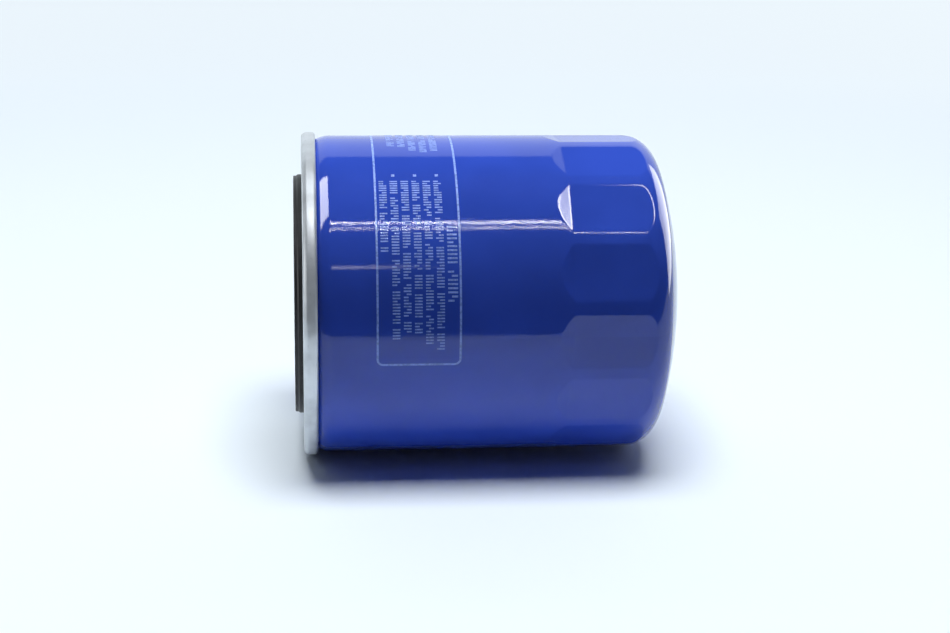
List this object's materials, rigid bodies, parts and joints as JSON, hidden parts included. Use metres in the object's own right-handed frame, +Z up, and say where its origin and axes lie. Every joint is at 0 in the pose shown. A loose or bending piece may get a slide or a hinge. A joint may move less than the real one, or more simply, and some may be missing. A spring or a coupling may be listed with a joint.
{
  "type": "spin-on oil filter",
  "caption": "Spin-on engine oil filter: painted steel can with a fluted domed end, rolled seam, gasket and stud thread, with element, relief and non-return valves inside.",
  "frame": {"origin": "on the filter's axis, at the mouth of the stud thread in the base plate", "axes": "+X along the axis from the threaded end to the domed end, +Z up with the filter lying on its side, one flute flat centred on -Y"},
  "size_m": [0.099, 0.0838, 0.0838],
  "materials": {
    "can_paint": "gloss enamel with a fine orange-peel texture, pale print on one side",
    "zinc_sheet": "bright zinc plate, lightly scuffed where it was rolled",
    "compound": "dull cured sealing compound",
    "plate_steel": "phosphated pressed steel with an oil film",
    "gasket_rubber": "moulded nitrile, satin",
    "valve_rubber": "moulded nitrile, dull",
    "cap_steel": "tin-plated thin sheet",
    "potting": "cured plastisol adhesive",
    "tube_steel": "rolled and perforated sheet",
    "filter_paper": "resin-treated pleated paper",
    "valve_steel": "bright pressed steel",
    "spring_steel": "oil-tempered wire"
  },
  "bodies": {
    "housing": {"can": "can_paint", "seaming_lid": "zinc_sheet", "seam_compound": "compound", "base_plate": "plate_steel", "gasket": "gasket_rubber", "non_return_valve_hub": "valve_rubber"},
    "non_return_lip": {"non_return_valve_lip": "valve_rubber"},
    "element": {"lower_end_cap": "cap_steel", "upper_end_cap": "cap_steel", "lower_potting": "potting", "upper_potting": "potting", "centre_tube": "tube_steel", "pleated_media": "filter_paper", "media_seam_clip": "cap_steel", "relief_seat_plate": "valve_steel", "relief_seal": "gasket_rubber", "relief_cage": "valve_steel", "relief_spring": "spring_steel", "hold_down_spring": "spring_steel"},
    "relief_poppet": {"relief_poppet": "valve_steel"}
  },
  "joints": [
    {"name": "non_return_lift", "type": "slide", "parent": "housing", "child": "non_return_lip", "axis": [1, 0, 0], "range_m": [0, 0.0012], "stiffness_N_per_m": 800, "springref_m": -0.001},
    {"name": "element_float", "type": "slide", "parent": "housing", "child": "element", "axis": [1, 0, 0], "range_m": [0, 0.0015], "stiffness_N_per_m": 8000, "springref_m": -0.005, "deforming": ["hold_down_spring"]},
    {"name": "relief_lift", "type": "slide", "parent": "element", "child": "relief_poppet", "axis": [-1, 0, 0], "range_m": [0, 0.0025], "stiffness_N_per_m": 2500, "springref_m": -0.006, "deforming": ["relief_spring"]}
  ]
}
